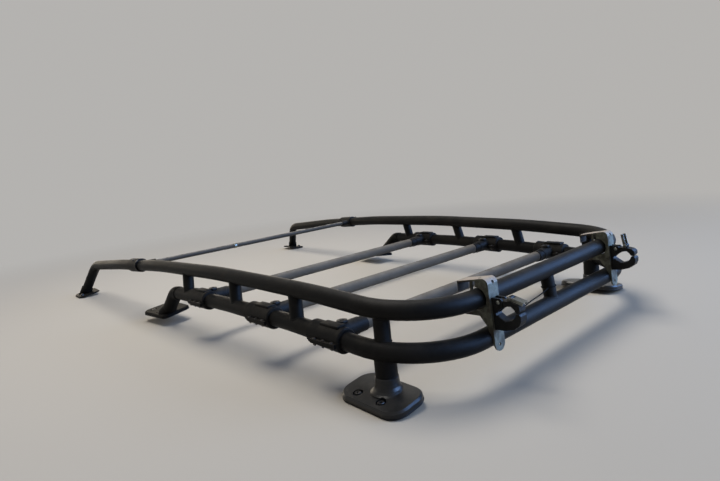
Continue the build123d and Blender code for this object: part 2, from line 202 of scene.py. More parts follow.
def place_in_object(tree, stretch=(1, 1, 1)):
    """Object coordinates, stretched along the axes."""
    coords = tree.nodes.new("ShaderNodeTexCoord")
    mapping = tree.nodes.new("ShaderNodeMapping")
    mapping.inputs["Scale"].default_value = stretch
    tree.links.new(coords.outputs["Object"], mapping.inputs["Vector"])
    return mapping.outputs["Vector"]


def noise(tree, vector, scale, detail, rough):
    """Cloudy noise from 0 to 1."""
    node = tree.nodes.new("ShaderNodeTexNoise")
    tree.links.new(vector, node.inputs["Vector"])
    feed(tree, node.inputs["Scale"], scale)
    node.inputs["Detail"].default_value = detail
    node.inputs["Roughness"].default_value = rough
    return node.outputs["Fac"]


def shader_group(name, inputs, outputs):
    """An empty shader group with named inputs (label, kind, value) and outputs (label, kind)."""
    tree = bpy.data.node_groups.new(name, "ShaderNodeTree")
    for label, kind, value in inputs:
        tree.interface.new_socket(label, in_out="INPUT", socket_type=kind).default_value = value
    for label, kind in outputs:
        tree.interface.new_socket(label, in_out="OUTPUT", socket_type=kind)
    return tree, tree.nodes.new("NodeGroupInput").outputs, tree.nodes.new("NodeGroupOutput").inputs


print("node helpers ready")

# %% [markdown]
# Powder coat is sprayed on as dust and baked, and then sun and rain fade it in patches while grime
# settles on the top of each tube. The first group turns one colour into that mixture; it reads the
# way the surface faces, so tubes and flat plates get their dust in the right place without any map.

# %% Group: weathered coat
FADE_EDGES = (0.44, 0.66)
DUST_EDGES = (0.36, 0.72)
DUST_FACING = (0.45, 1.00)
DUST_SCALE = 26.0
FADE_ROUGHER = 0.10
DUST_ROUGHER = 0.28

weathered, given, made = shader_group("weathered_coat", [
    ("Colour", COLOUR, (0.03, 0.03, 0.03, 1)), ("Faded Colour", COLOUR, (0.06, 0.055, 0.05, 1)),
    ("Dust Colour", COLOUR, (0.2, 0.18, 0.15, 1)), ("Fade", NUMBER, 0.6), ("Dust", NUMBER, 0.5),
    ("Patch Scale", NUMBER, 9.0), ("Roughness", NUMBER, 0.4)],
    [("Colour", COLOUR), ("Roughness", NUMBER)])
spot = place_in_object(weathered)
patches = noise(weathered, spot, given["Patch Scale"], detail=5.0, rough=0.62)
patches = between(weathered, patches, *FADE_EDGES)
patches = calc(weathered, "MULTIPLY", patches, given["Fade"])
facing = weathered.nodes.new("ShaderNodeSeparateXYZ")
surface = weathered.nodes.new("ShaderNodeNewGeometry")
weathered.links.new(surface.outputs["Normal"], facing.inputs[0])
# On the crossbars and the front bar this pale top is partly painted highlight as well as dust.
dust_and_highlight_mask = calc(weathered, "MULTIPLY", between(weathered, facing.outputs["Z"], *DUST_FACING),
               between(weathered, noise(weathered, spot, DUST_SCALE, detail=6.0, rough=0.68),
                       *DUST_EDGES))
dust_and_highlight_mask = calc(weathered, "MULTIPLY", dust_and_highlight_mask, given["Dust"])
coat_colour = mixed(weathered, patches, given["Colour"], given["Faded Colour"])
weathered.links.new(mixed(weathered, dust_and_highlight_mask, coat_colour, given["Dust Colour"]), made["Colour"])
coat_rough = calc(weathered, "ADD", given["Roughness"],
                  calc(weathered, "MULTIPLY", patches, FADE_ROUGHER))
coat_rough = calc(weathered, "ADD", coat_rough, calc(weathered, "MULTIPLY", dust_and_highlight_mask, DUST_ROUGHER))
weathered.links.new(coat_rough, made["Roughness"])
print("group", weathered.name)

# %% [markdown]
# The grain of a powder coat is an orange peel a millimetre across with a finer bite on top. Moulded
# plastic has the same two scales, only coarser, so both use one group that puts out a height.

# %% Group: fine grain
BITE_FINER = 3.4
BITE_SHARE = 0.35

grain, given, made = shader_group("fine_grain", [("Scale", NUMBER, 700.0)], [("Height", NUMBER)])
spot = place_in_object(grain)
peel = noise(grain, spot, given["Scale"], detail=1.0, rough=0.5)
finer = calc(grain, "MULTIPLY", given["Scale"], BITE_FINER)
bite = noise(grain, spot, finer, detail=1.0, rough=0.5)
grain.links.new(calc(grain, "ADD", peel, calc(grain, "MULTIPLY", bite, BITE_SHARE)), made["Height"])
print("group", grain.name)

# %% [markdown]
# Edges lose their coat first. The Bevel node rounds the surface in shading alone, so where its normal
# leaves the true one there is an edge. Noise breaks that line up into knocks and rubbed stretches.

# %% Group: worn edges
EDGE_RISE = (0.010, 0.09)
KNOCK_SCALE = 95.0
KNOCK_EDGES = (0.42, 0.62)

worn, given, made = shader_group("worn_edges", [("Width", NUMBER, 0.0012), ("Amount", NUMBER, 0.7)],
                                 [("Mask", NUMBER)])
rounded = worn.nodes.new("ShaderNodeBevel")
rounded.samples = 4
worn.links.new(given["Width"], rounded.inputs["Radius"])
surface = worn.nodes.new("ShaderNodeNewGeometry")
agree = worn.nodes.new("ShaderNodeVectorMath")
agree.operation = "DOT_PRODUCT"
worn.links.new(rounded.outputs["Normal"], agree.inputs[0])
worn.links.new(surface.outputs["Normal"], agree.inputs[1])
edge = between(worn, calc(worn, "SUBTRACT", 1.0, agree.outputs["Value"]), *EDGE_RISE)
knocks = noise(worn, place_in_object(worn), KNOCK_SCALE, detail=4.0, rough=0.6)
knocks = between(worn, knocks, *KNOCK_EDGES)
edge = calc(worn, "MULTIPLY", calc(worn, "MULTIPLY", edge, knocks), given["Amount"])
worn.links.new(edge, made["Mask"])
print("group", worn.name)

# %% [markdown]
# Zinc on steel sheet is not one grey. Hot-dip zinc freezes into spangles the size of a fingernail, each
# with its own tone, and grime runs over them. A Voronoi texture has exactly such cells. Where the
# sheet lies level, pale dust settles and hides the metal. In front of a set line along y the stain
# colour
# covers the sheet all over: some of that is rust, and the rest is painted shade where a flange hangs
# over.

# %% Group: spangled zinc
STAIN_SCALE = 30.0
STAIN_EDGES = (0.40, 0.70)
STAIN_ROUGHER = 0.2
LEVEL_FACING = (0.03, 0.42)
LEVEL_SCALE = 60.0
LEVEL_EDGES = (0.22, 0.42)
RUST_AND_SHADE_FADE = 80.0
RUST_AND_SHADE_EDGES = (-0.5, 0.5)
NO_RUST_AND_SHADE_LINE = -100.0

zinc, given, made = shader_group("spangled_zinc", [
    ("Light", COLOUR, (0.5, 0.52, 0.54, 1)), ("Dark", COLOUR, (0.34, 0.36, 0.38, 1)),
    ("Stain", COLOUR, (0.10, 0.08, 0.06, 1)), ("Stain Amount", NUMBER, 0.6),
    ("Spangle Scale", NUMBER, 130.0), ("Roughness", NUMBER, 0.42),
    ("Dust Colour", COLOUR, (0.3, 0.26, 0.21, 1)), ("Dust", NUMBER, 0.0),
    ("Grime Line", NUMBER, NO_RUST_AND_SHADE_LINE)],
    [("Colour", COLOUR), ("Roughness", NUMBER), ("Metal", NUMBER)])
spot = place_in_object(zinc)
cells = zinc.nodes.new("ShaderNodeTexVoronoi")
zinc.links.new(spot, cells.inputs["Vector"])
zinc.links.new(given["Spangle Scale"], cells.inputs["Scale"])
tone = zinc.nodes.new("ShaderNodeSeparateXYZ")
zinc.links.new(cells.outputs["Color"], tone.inputs[0])
stain_and_shade = between(zinc, noise(zinc, spot, STAIN_SCALE, detail=6.0, rough=0.66), *STAIN_EDGES)
stain_and_shade = calc(zinc, "MULTIPLY", stain_and_shade, given["Stain Amount"])
where = zinc.nodes.new("ShaderNodeSeparateXYZ")
zinc.links.new(spot, where.inputs[0])
# Painted shade: in front of the line the sheet takes the stain colour all over, standing in for the
# shade under the bracket's flange, together with some rust.
rust_and_shade_front = calc(zinc, "SUBTRACT", given["Grime Line"], where.outputs["Y"])
rust_and_shade_front = between(zinc, calc(zinc, "MULTIPLY", rust_and_shade_front, RUST_AND_SHADE_FADE), *RUST_AND_SHADE_EDGES)
stain_and_shade = calc(zinc, "MAXIMUM", stain_and_shade, calc(zinc, "MULTIPLY", rust_and_shade_front, given["Stain Amount"]))
bare = mixed(zinc, tone.outputs["X"], given["Dark"], given["Light"])
facing = zinc.nodes.new("ShaderNodeSeparateXYZ")
surface = zinc.nodes.new("ShaderNodeNewGeometry")
zinc.links.new(surface.outputs["Normal"], facing.inputs[0])
level = calc(zinc, "MULTIPLY", between(zinc, facing.outputs["Z"], *LEVEL_FACING),
             between(zinc, noise(zinc, spot, LEVEL_SCALE, detail=5.0, rough=0.6), *LEVEL_EDGES))
level = calc(zinc, "MULTIPLY", level, given["Dust"])
grimed = mixed(zinc, stain_and_shade, bare, given["Stain"])
zinc.links.new(mixed(zinc, level, grimed, given["Dust Colour"]), made["Colour"])
dull = calc(zinc, "MAXIMUM", stain_and_shade, level)
zinc.links.new(calc(zinc, "ADD", given["Roughness"], calc(zinc, "MULTIPLY", dull, STAIN_ROUGHER)),
               made["Roughness"])
zinc.links.new(calc(zinc, "SUBTRACT", 1.0, dull), made["Metal"])
print("group", zinc.name)

# %% [markdown]
# With the groups at hand a finish is a short list of choices. Every coated or moulded surface uses the
# same builder: weathered colour, grain as bump, and, where the edge is hard, a rubbed lighter line.

# %% Coated and moulded finishes
GRAIN_DEPTH = 0.0004
GLOSS_ROUGHNESS = 0.3


def group_node(tree, group, **values):
    """Places a shared group in a tree with its own values."""
    node = tree.nodes.new("ShaderNodeGroup")
    node.node_tree = group
    for label, value in values.items():
        node.inputs[label.replace("_", " ")].default_value = value
    return node.outputs


def new_finish(name):
    """A new material, its tree and its shader."""
    finish = bpy.data.materials.new(name)
    finish.use_nodes = True
    tree = finish.node_tree
    return finish, tree, tree.nodes["Principled BSDF"]


def bumped(tree, shader, height, strength, distance):
    """Sends a height to the shader's normal."""
    bump = tree.nodes.new("ShaderNodeBump")
    bump.inputs["Strength"].default_value = strength
    bump.inputs["Distance"].default_value = distance
    tree.links.new(height, bump.inputs["Height"])
    tree.links.new(bump.outputs["Normal"], shader.inputs["Normal"])


def coated(name, look, grain_scale, bite, shine, rubbed=None, width=0.0012, amount=0.6, gloss=0.0):
    """A coated or moulded finish. look holds the weathered group's values."""
    finish, tree, shader = new_finish(name)
    coat = group_node(tree, weathered, **look)
    colour = coat["Colour"]
    if rubbed:
        mask = group_node(tree, worn, Width=width, Amount=amount)["Mask"]
        colour = mixed(tree, mask, colour, rubbed)
    tree.links.new(colour, shader.inputs["Base Color"])
    tree.links.new(coat["Roughness"], shader.inputs["Roughness"])
    bumped(tree, shader, group_node(tree, grain, Scale=grain_scale)["Height"], bite, GRAIN_DEPTH)
    shader.inputs["Specular IOR Level"].default_value = shine
    if gloss:
        shader.inputs["Coat Weight"].default_value = gloss
        shader.inputs["Coat Roughness"].default_value = GLOSS_ROUGHNESS
    return finish


FINISHES = {
    "rail_paint": coated("satin_powder_coat", {
        "Colour": (0.0085, 0.0085, 0.0085, 1), "Faded_Colour": (0.021, 0.019, 0.0165, 1),
        "Dust_Colour": (0.080, 0.072, 0.060, 1), "Fade": 0.65, "Dust": 0.24, "Patch_Scale": 7.0,
        "Roughness": 0.47}, grain_scale=650.0, bite=0.28, shine=0.08),
    "foot_moulding": coated("foot_plastic", {
        "Colour": (0.008, 0.0082, 0.0086, 1), "Faded_Colour": (0.018, 0.0172, 0.0164, 1),
        "Dust_Colour": (0.10, 0.093, 0.083, 1), "Fade": 0.5, "Dust": 0.26, "Patch_Scale": 14.0,
        "Roughness": 0.36}, grain_scale=900.0, bite=0.22,
        rubbed=(0.045, 0.043, 0.04, 1), gloss=0.34, shine=0.18),
    "clamp_moulding": coated("clamp_plastic", {
        "Colour": (0.008, 0.008, 0.008, 1), "Faded_Colour": (0.021, 0.0195, 0.0175, 1),
        "Dust_Colour": (0.10, 0.09, 0.077, 1), "Fade": 0.7, "Dust": 0.42, "Patch_Scale": 16.0,
        "Roughness": 0.56}, grain_scale=800.0, bite=0.3,
        rubbed=(0.055, 0.052, 0.048, 1), shine=0.10),
    "knob_plastic": coated("knob_plastic", {
        "Colour": (0.0045, 0.0045, 0.0050, 1), "Faded_Colour": (0.011, 0.011, 0.0115, 1),
        "Dust_Colour": (0.10, 0.095, 0.085, 1), "Fade": 0.5, "Dust": 0.12, "Patch_Scale": 40.0,
        "Roughness": 0.36}, grain_scale=1000.0, bite=0.25,
        rubbed=(0.04, 0.04, 0.04, 1), width=0.0009, shine=0.13),
    "jaw_rubber": coated("jaw_rubber", {
        "Colour": (0.009, 0.009, 0.0094, 1), "Faded_Colour": (0.019, 0.0195, 0.020, 1),
        "Dust_Colour": (0.09, 0.087, 0.08, 1), "Fade": 0.6, "Dust": 0.35, "Patch_Scale": 35.0,
        "Roughness": 0.44}, grain_scale=1100.0, bite=0.35,
        rubbed=(0.035, 0.036, 0.038, 1), amount=0.8, shine=0.15),
    "cord_black": coated("braided_cord", {
        "Colour": (0.006, 0.006, 0.006, 1), "Faded_Colour": (0.014, 0.0135, 0.0125, 1),
        "Dust_Colour": (0.06, 0.057, 0.05, 1), "Fade": 0.6, "Dust": 0.2, "Patch_Scale": 60.0,
        "Roughness": 0.7}, grain_scale=1500.0, bite=0.6, shine=0.05),
}
print(len(FINISHES), "coated finishes")

# %% [markdown]
# The brackets and levers are bare plated steel. They keep a metallic shader, where stains lower the
# metal and not just the colour, because grime on steel looks dull, never tinted and shiny. A few coated
# pieces have paints of their own: the crossbars and the thin front bar have weathered lighter than the
# rails, and their pale tops are partly dust and partly painted highlight. The front and middle feet are
# a darker, flatter black than the rear ones, and that darker black is painted shade.

# %% Plated finishes
PLATE_SHINE = 0.15
PLATE_EDGES = {"Width": 0.001, "Amount": 0.7}
BRUSH_DEPTH = 0.0003


def plated(name, look, brushed_along, brush_bite, rubbed):
    """Bare or zinc-plated steel. look holds the zinc group's values."""
    finish, tree, shader = new_finish(name)
    skin = group_node(tree, zinc, **look)
    colour = mixed(tree, group_node(tree, worn, **PLATE_EDGES)["Mask"], skin["Colour"], rubbed)
    tree.links.new(colour, shader.inputs["Base Color"])
    tree.links.new(skin["Roughness"], shader.inputs["Roughness"])
    tree.links.new(skin["Metal"], shader.inputs["Metallic"])
    shader.inputs["Specular IOR Level"].default_value = PLATE_SHINE
    lines = noise(tree, place_in_object(tree, brushed_along), 1.0, detail=2.0, rough=0.6)
    bumped(tree, shader, lines, brush_bite, BRUSH_DEPTH)
    return finish


# In front of y 0.118 the bracket's front lip and the sheet under its flange get painted shade in the
# stain colour; part of that darkness is rust.
FINISHES["bracket_steel"] = plated("galvanised_sheet", {
    "Light": (0.170, 0.176, 0.142, 1), "Dark": (0.098, 0.102, 0.081, 1),
    "Stain": (0.052, 0.041, 0.034, 1), "Stain_Amount": 0.88, "Spangle_Scale": 120.0,
    "Roughness": 0.50, "Dust_Colour": (0.40, 0.34, 0.28, 1), "Dust": 0.9,
    "Grime_Line": 0.118},
    brushed_along=(180, 180, 900), brush_bite=0.12, rubbed=(0.20, 0.195, 0.175, 1))
FINISHES["lever_steel"] = plated("plated_lever", {
    "Light": (0.23, 0.24, 0.21, 1), "Dark": (0.16, 0.165, 0.15, 1), "Stain": (0.05, 0.045, 0.04, 1),
    "Stain_Amount": 0.6, "Spangle_Scale": 260.0, "Roughness": 0.36},
    brushed_along=(1500, 120, 120), brush_bite=0.15, rubbed=(0.6, 0.6, 0.6, 1))
BOLT_STEEL = plated("black_oxide_bolts", {
    "Light": (0.06, 0.06, 0.062, 1), "Dark": (0.035, 0.035, 0.036, 1), "Stain": (0.05, 0.035, 0.025, 1),
    "Stain_Amount": 0.5, "Spangle_Scale": 400.0, "Roughness": 0.38},
    brushed_along=(700, 700, 700), brush_bite=0.12, rubbed=(0.25, 0.25, 0.25, 1))
lanyard_cord.data.materials.append(FINISHES["cord_black"])

# Partly painted sheen: the crossbars' lighter tops are some dust and some painted sheen, as the paint
# itself hardly shines.
CROSSBAR_PAINT_WITH_SHEEN = coated("crossbar_coat_dust_and_sheen", {
    "Colour": (0.144, 0.129, 0.110, 1), "Faded_Colour": (0.190, 0.173, 0.150, 1),
    "Dust_Colour": (0.255, 0.240, 0.218, 1), "Fade": 0.7, "Dust": 0.7, "Patch_Scale": 6.0,
    "Roughness": 0.6}, grain_scale=650.0, bite=0.28, shine=0.03)
# Painted highlight: the front bar's pale top stands in for the bright line of light along it, with some
# real dust.
FRONT_BAR_PAINT_WITH_HIGHLIGHT = coated("front_bar_coat_dust_and_highlight", {
    "Colour": (0.070, 0.064, 0.056, 1), "Faded_Colour": (0.110, 0.100, 0.086, 1),
    "Dust_Colour": (0.38, 0.355, 0.32, 1), "Fade": 0.7, "Dust": 0.8, "Patch_Scale": 6.0,
    "Roughness": 0.55}, grain_scale=650.0, bite=0.28, shine=0.10)
# Painted shade: the front and middle feet get a darker, flatter copy of the foot black, which stands in
# for the shade on the middle feet.
FRONT_FEET_SHADED_PAINT = coated("front_feet_shaded_coat", {
    "Colour": (0.0050, 0.0050, 0.0050, 1), "Faded_Colour": (0.011, 0.010, 0.009, 1),
    "Dust_Colour": (0.060, 0.055, 0.048, 1), "Fade": 0.5, "Dust": 0.12, "Patch_Scale": 12.0,
    "Roughness": 0.5}, grain_scale=800.0, bite=0.25, rubbed=(0.03, 0.029, 0.027, 1), shine=0.04)
OWN_PAINTS = {"front_bar": FRONT_BAR_PAINT_WITH_HIGHLIGHT}
for place in ("front", "middle", "rear"):
    OWN_PAINTS[f"crossbar_{place}"] = CROSSBAR_PAINT_WITH_SHEEN
for place in ("front", "middle"):
    for side, _ in SIDES:
        OWN_PAINTS[f"{place}_foot_{side}"] = FRONT_FEET_SHADED_PAINT

for row in frame["record"]["subparts"]:
    solid = NODES[row["node"]]
    look = OWN_PAINTS.get(row["node"], FINISHES[row["material_slot"]])
    for index in range(len(solid.material_slots)):
        solid.material_slots[index].material = look

# %% [markdown]
# Turned forms such as bolt heads are rings of points joined into bands. A ring is round or has flats,
# so the same function makes washers, hexagon heads and the hexagon socket of a cap screw.

# %% Helpers for small pieces
RING = 24
BOX_STEPS = 3


def turned(rows, lobes=0, ripple=0.0, ring=RING):
    """A closed turned form. rows: radius, height, flats (0 round). Lobes ripple the radius."""
    form = bmesh.new()
    rings = []
    for radius, height, flats in rows:
        band = []
        for k in range(ring if radius else 1):
            angle = math.tau * k / ring
            reach = radius * (1 + ripple * math.cos(lobes * angle))
            if flats:
                part = math.tau / flats
                reach /= math.cos((angle % part) - part / 2)
            band.append(form.verts.new((reach * math.cos(angle), reach * math.sin(angle), height)))
        rings.append(band)
    for low, high in zip(rings, rings[1:]):
        for k in range(ring):
            around = (k + 1) % ring
            corners = list(dict.fromkeys([low[k % len(low)], low[around % len(low)],
                                          high[around % len(high)], high[k % len(high)]]))
            if len(corners) > 2:
                form.faces.new(corners)
    bmesh.ops.recalc_face_normals(form, faces=form.faces)
    return form


def as_mesh(form, name, sharp=35.0):
    """Turns a bmesh into a mesh with smooth faces and sharp edges over an angle."""
    mesh = bpy.data.meshes.new(name)
    form.to_mesh(mesh)
    form.free()
    mesh.shade_smooth()
    mesh.set_sharp_from_angle(angle=math.radians(sharp))
    return mesh


def finished(name, mesh, body, slot, finish=None):
    """A piece with its mesh in place, riding on a body, in its slot's finish or one of its own."""
    mesh.materials.clear()
    mesh.materials.append(finish or FINISHES[slot])
    piece = bpy.data.objects.new(name, mesh)
    bpy.context.scene.collection.objects.link(piece)
    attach(piece, body)
    return piece


def soft_box(form, size, rounding, place):
    """Adds a box with rounded edges to a bmesh."""
    made_box = bmesh.ops.create_cube(form, size=1.0, matrix=place @ Matrix.Diagonal((*size, 1)))
    edges = list({edge for vert in made_box["verts"] for edge in vert.link_edges})
    bmesh.ops.bevel(form, geom=edges, offset=rounding, segments=BOX_STEPS, profile=0.5,
                    affect="EDGES")


print("piece helpers ready")

# %% [markdown]
# Bolts repeat on every foot and clamp, so a geometry tree places them. It takes a mesh that has only
# points, each with the direction it faces, and puts one fitting on each with its own small turn, as
# no fitter ever lines up the flats.

# %% Tree: fittings on points


def geometry_tree(name, inputs):
    """A geometry tree with a mesh input, more named inputs and one output."""
    tree = bpy.data.node_groups.new(name, "GeometryNodeTree")
    tree.interface.new_socket("Geometry", in_out="INPUT", socket_type="NodeSocketGeometry")
    for label, kind, value in inputs:
        socket = tree.interface.new_socket(label, in_out="INPUT", socket_type=kind)
        if value is not None:
            socket.default_value = value
    tree.interface.new_socket("Geometry", in_out="OUTPUT", socket_type="NodeSocketGeometry")
    return tree, tree.nodes.new("NodeGroupInput").outputs, tree.nodes.new("NodeGroupOutput").inputs


def closing(tree, geometry, material, sink):
    """Ends a tree with real faces that carry a material."""
    real = tree.nodes.new("GeometryNodeRealizeInstances")
    paint = tree.nodes.new("GeometryNodeSetMaterial")
    tree.links.new(geometry, real.inputs["Geometry"])
    tree.links.new(real.outputs["Geometry"], paint.inputs["Geometry"])
    tree.links.new(material, paint.inputs["Material"])
    tree.links.new(paint.outputs["Geometry"], sink)


def grown(name, base, tree, values):
    """Runs a geometry tree on a base mesh and returns the result as a plain mesh."""
    carrier = bpy.data.objects.new(name + "_carrier", base)
    bpy.context.scene.collection.objects.link(carrier)
    modifier = carrier.modifiers.new(name, "NODES")
    modifier.node_group = tree
    for item in tree.interface.items_tree:
        if item.in_out == "INPUT" and item.name in values:
            modifier[item.identifier] = values[item.name]
    graph = bpy.context.evaluated_depsgraph_get()
    result = bpy.data.meshes.new_from_object(carrier.evaluated_get(graph), depsgraph=graph)
    bpy.data.objects.remove(carrier)
    result.name = name
    return result


placing, given, made = geometry_tree("fittings_on_points", [
    ("Fitting", "NodeSocketObject", None), ("Largest Turn", "NodeSocketFloat", math.pi),
    ("Seed", "NodeSocketInt", 3), ("Finish", "NodeSocketMaterial", None)])
way = placing.nodes.new("GeometryNodeInputNamedAttribute")
way.data_type = "FLOAT_VECTOR"
way.inputs["Name"].default_value = "way"
stand = placing.nodes.new("FunctionNodeAlignRotationToVector")
stand.axis = "Z"
placing.links.new(way.outputs["Attribute"], stand.inputs["Vector"])
chance = placing.nodes.new("FunctionNodeRandomValue")
chance.data_type = "FLOAT"
placing.links.new(given["Largest Turn"], chance.inputs[3])
placing.links.new(given["Seed"], chance.inputs["Seed"])
spin = placing.nodes.new("FunctionNodeAxisAngleToRotation")
placing.links.new(chance.outputs[1], spin.inputs["Angle"])
turning = placing.nodes.new("FunctionNodeRotateRotation")
turning.rotation_space = "LOCAL"
placing.links.new(stand.outputs["Rotation"], turning.inputs["Rotation"])
placing.links.new(spin.outputs["Rotation"], turning.inputs["Rotate By"])
model = placing.nodes.new("GeometryNodeObjectInfo")
placing.links.new(given["Fitting"], model.inputs["Object"])
copies = placing.nodes.new("GeometryNodeInstanceOnPoints")
placing.links.new(given["Geometry"], copies.inputs["Points"])
placing.links.new(model.outputs["Geometry"], copies.inputs["Instance"])
placing.links.new(turning.outputs["Rotation"], copies.inputs["Rotation"])
closing(placing, copies.outputs["Instances"], given["Finish"], made["Geometry"])


def placed(name, model_form, spots, body, slot, finish=None, seed=3, largest=math.pi):
    """Places a turned form on spots, each a place and the way it faces, riding on a body."""
    finish = finish or FINISHES[slot]
    pattern = bpy.data.objects.new(name + "_pattern", as_mesh(model_form, name + "_pattern"))
    bpy.context.scene.collection.objects.link(pattern)
    points = bpy.data.meshes.new(name + "_points")
    points.from_pydata([place for place, _ in spots], [], [])
    ways = points.attributes.new("way", "FLOAT_VECTOR", "POINT")
    ways.data.foreach_set("vector", [v for _, facing_way in spots for v in facing_way])
    mesh = grown(name, points, placing,
                 {"Fitting": pattern, "Finish": finish, "Seed": seed, "Largest Turn": largest})
    bpy.data.objects.remove(pattern)
    return finished(name, mesh, body, slot, finish)


print("tree", placing.name)

# %% [markdown]
# The feet are bolted down through recesses, so a socket cap screw on a washer sits in each one. The
# front feet have no recess: their screws are low hexagon heads that stand on the plate.

# %% Bolts in the feet
# Rows of a turned form: radius, height (both in millimetres), number of flats
CAP_SCREW = [(0, 0.0, 0), (9.6, 0.0, 0), (9.9, 0.4, 0), (9.6, 1.6, 0), (7.3, 1.6, 0), (7.3, 6.4, 0),
             (6.6, 7.3, 0), (4.6, 7.3, 0), (3.0, 7.1, 6), (3.0, 3.0, 6), (0, 2.6, 0)]
HEX_HEAD = [(0, 0.0, 0), (9.0, 0.0, 0), (9.3, 0.4, 0), (9.0, 1.5, 0), (7.6, 1.5, 0), (6.5, 1.6, 6),
            (6.5, 5.6, 6), (6.3, 6.4, 0), (4.2, 6.6, 0), (0, 6.5, 0)]
FOOT_BOLTS = {"rear": [(0.518, -0.036), (0.518, 0.036)],
              "middle": [(0.568, -1.174), (0.568, -1.110)],
              "front": [(0.650, -2.051), (0.650, -1.999)]}
FOOT_FLOOR = {"rear": 0.0040, "middle": 0.0274, "front": 0.0027}
FOOT_TILT = {"rear": 8.0, "middle": 7.0, "front": 9.0}


def in_mm(rows):
    """Rows given in millimetres, turned into metres."""
    return [(radius * MM, height * MM, flats) for radius, height, flats in rows]


recessed = []
standing = []
for _, hand in SIDES:
    for foot in ("rear", "middle"):
        recessed += [((hand * x, y, FOOT_FLOOR[foot]), (0, 0, 1)) for x, y in FOOT_BOLTS[foot]]
    lean = math.radians(FOOT_TILT["front"])
    standing += [((hand * x, y, FOOT_FLOOR["front"]), (hand * math.sin(lean), 0, math.cos(lean)))
                 for x, y in FOOT_BOLTS["front"]]
placed("foot_cap_screws", turned(in_mm(CAP_SCREW)), recessed, "rack", "lever_steel", BOLT_STEEL)
placed("front_foot_bolts", turned(in_mm(HEX_HEAD)), standing, "rack", "lever_steel", BOLT_STEEL, seed=5)
print(len(recessed), "cap screws", len(standing), "hexagon heads")

# %% [markdown]
# Under each foot a rubber gasket shows as a thin dark line. It follows the rounded outline of its plate
# and leans with it. A strip swept round the outline is enough, since its top and underside are hidden.

# %% Gaskets under the feet
GASKET_HIGH = 0.0026
GASKET_PROUD = 0.0012
GASKET_INNER = -0.004
GASKET_EDGE = 0.0006
CORNER_STEPS = 8
# Plates: seat centre, corner radius, four corners about the centre
PLATES = {"rear": ((0.488, 0.006, 0.0), 0.038,
                   [(0.053, -0.092), (0.053, 0.092), (-0.053, 0.092), (-0.053, -0.092)]),
          "middle": ((0.538, -1.110, 0.026), 0.022,
                     [(0.064, -0.096), (0.041, 0.082), (-0.064, 0.066), (-0.054, -0.086)]),
          "front": ((0.622, -2.025, 0.0), 0.026,
                    [(0.048, -0.060), (0.048, 0.060), (-0.048, 0.060), (-0.048, -0.060)])}


def plate_outline(corners, radius, grow):
    """Points round a plate with rounded corners that is grown outwards."""
    points = []
    for before, corner, after in zip(corners[-1:] + corners[:-1], corners, corners[1:] + corners[:1]):
        into = (Vector(corner) - Vector(before)).normalized()
        out = (Vector(after) - Vector(corner)).normalized()
        first = math.atan2(-into.x, into.y)
        turn = into.angle(out)
        middle = Vector(corner) - (Vector((into.y, -into.x)) + Vector((out.y, -out.x))).normalized() * (
            radius / math.cos(turn / 2))
        for k in range(CORNER_STEPS + 1):
            angle = first + turn * k / CORNER_STEPS
            points.append(middle + (radius + grow) * Vector((math.cos(angle), math.sin(angle))))
    return points


def gasket(form, plate, hand, tilt):
    """Adds one foot's gasket, a closed strip round its plate, to a bmesh."""
    seat_centre, corner, outline = plate
    place = Matrix.Translation(seat_centre) @ Matrix.Rotation(math.radians(tilt), 4, "Y")
    place = Matrix.Diagonal((hand, 1, 1, 1)) @ place
    profile = [(GASKET_INNER, 0.0), (GASKET_PROUD, 0.0), (GASKET_PROUD, GASKET_HIGH - GASKET_EDGE),
               (GASKET_PROUD - GASKET_EDGE, GASKET_HIGH), (GASKET_INNER, GASKET_HIGH)]
    rings = [[form.verts.new(place @ Vector((*point, height)))
              for point in plate_outline(outline, corner, out)] for out, height in profile]
    count = len(rings[0])
    for low, high in zip(rings, rings[1:] + rings[:1]):
        for k in range(count):
            form.faces.new((low[k], low[(k + 1) % count], high[(k + 1) % count], high[k]))


gaskets = bmesh.new()
for foot, plate in PLATES.items():
    for _, hand in SIDES:
        gasket(gaskets, plate, hand, FOOT_TILT[foot])
bmesh.ops.recalc_face_normals(gaskets, faces=gaskets.faces)
finished("foot_gaskets", as_mesh(gaskets, "foot_gaskets"), "rack", "jaw_rubber")
print("gaskets under", 2 * len(PLATES), "feet")

# %% [markdown]
# The posts are welded to the rails. A weld bead is a row of frozen ripples, so it is a squashed drop
# repeated along the saddle curve where the post's surface meets the rail's. Each point of that curve
# is where a line down the side of the post enters the rail, which is one quadratic equation.

# %% Weld beads
RAIL_R = 0.02135
UPPER_RAIL = [(0.4725, 0.128, 0.1836), (0.4915, -0.230, 0.2039), (0.5145, -0.660, 0.2120),
              (0.5385, -1.090, 0.2039)]
LOWER_RAIL = [(0.4858, 0.141, 0.0978), (0.5065, -0.268, 0.1190), (0.5237, -0.588, 0.1252),
              (0.5431, -0.935, 0.1215)]
SIDE_POSTS = [(-0.871, -0.861), (-0.565, -0.550), (-0.274, -0.260)]
POST_R = 0.0175
LEG_R = 0.0180
CENTRE_POST = ((0.018, 0.141, 0.0978), (0.018, 0.128, 0.1836), 0.016)
LEG_ENDS = ((0.4755, 0.0145, 0.1044), (0.4652, 0.0036, 0.1906))
LEG_RUNS = ((-0.325, 0.945, -0.049), (-0.287, 0.957, -0.054))
RIPPLE_STEP = 0.0019
RIPPLE = [(0, 1.5, 0), (1.7, 0.9, 0), (2.5, -0.4, 0), (0, -0.9, 0)]
RIPPLE_TURN = 0.6
ACROSS = Vector((1, 0, 0))


def on_rail(path, y):
    """The point of a rail's straight runs at a given y, and the way the run points."""
    for a, b in zip(path, path[1:]):
        if b[1] <= y <= a[1]:
            a, b = Vector(a), Vector(b)
            return a + (b - a) * ((y - a.y) / (b.y - a.y)), (a - b).normalized()
    raise ValueError(y)


